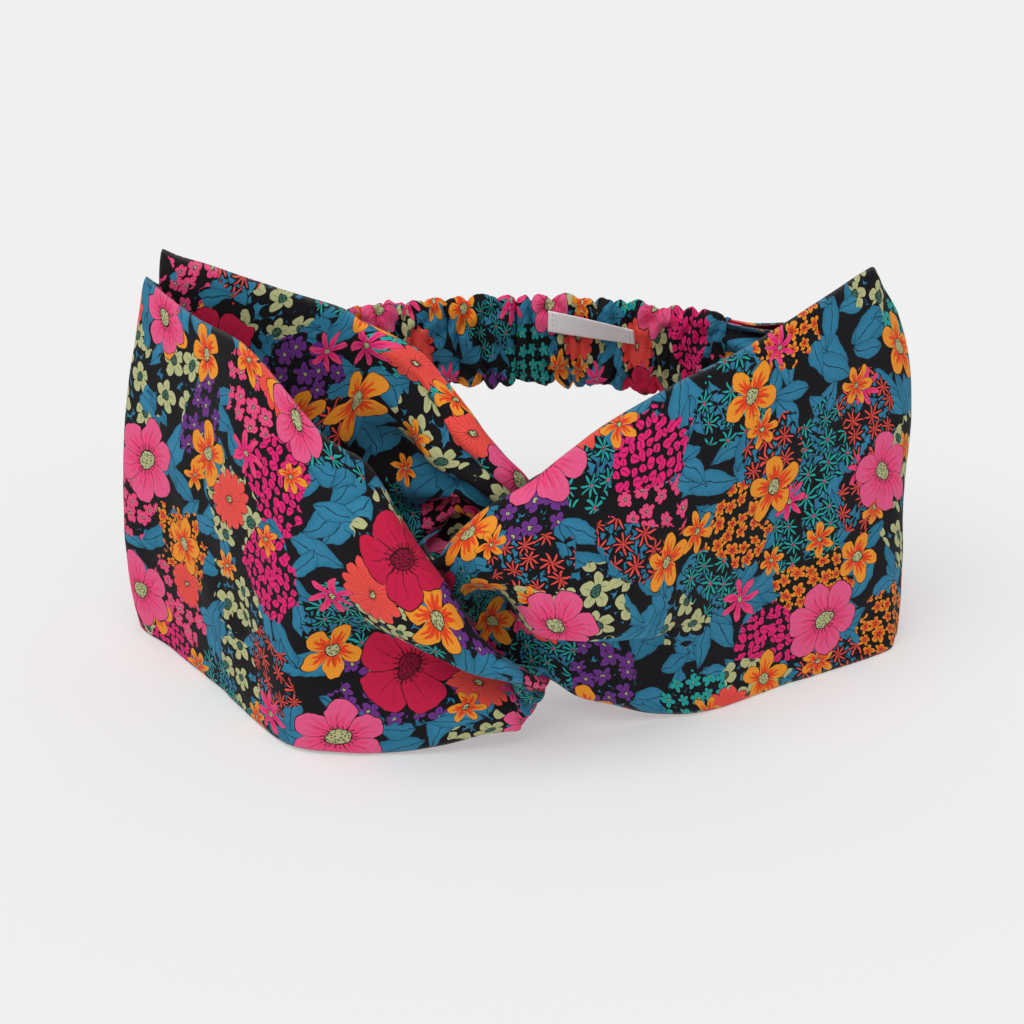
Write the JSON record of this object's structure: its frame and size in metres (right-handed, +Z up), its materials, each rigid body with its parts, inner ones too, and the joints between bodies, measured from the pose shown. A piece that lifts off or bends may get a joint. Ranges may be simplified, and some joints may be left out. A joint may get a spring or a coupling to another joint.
{
  "type": "knotted headband",
  "caption": "Twist-front headband of two looped printed cotton strips, closed by a ruched elastic back with a small blank label.",
  "frame": {"origin": "on the ground under the middle of the band, which stands on the lower edges of its strips", "axes": "+X across the band from the left side to the right side, +Y from the knot towards the elastic back, +Z up"},
  "size_m": [0.22, 0.13, 0.1162],
  "materials": {
    "printed_cotton": "matt woven cotton lawn, printed all over with small bright flowers and teal leaves on near-black",
    "braided_elastic": "flat white braided elastic",
    "label_weave": "white satin-woven tape, no lettering",
    "sewing_thread": "matt spun polyester thread"
  },
  "bodies": {
    "front_wrap": {"left_strip": "printed_cotton", "right_strip": "printed_cotton", "join_thread_left": "sewing_thread", "join_thread_right": "sewing_thread"},
    "elastic_back": {"elastic_casing": "printed_cotton", "elastic_band": "braided_elastic", "woven_label": "label_weave", "label_thread_left": "sewing_thread", "label_thread_right": "sewing_thread"}
  },
  "joints": [
    {"name": "back_stretch", "type": "slide", "parent": "front_wrap", "child": "elastic_back", "axis": [0, 1, 0], "range_m": [0, 0.05], "stiffness_N_per_m": 120, "deforming": ["elastic_casing", "elastic_band"]}
  ]
}
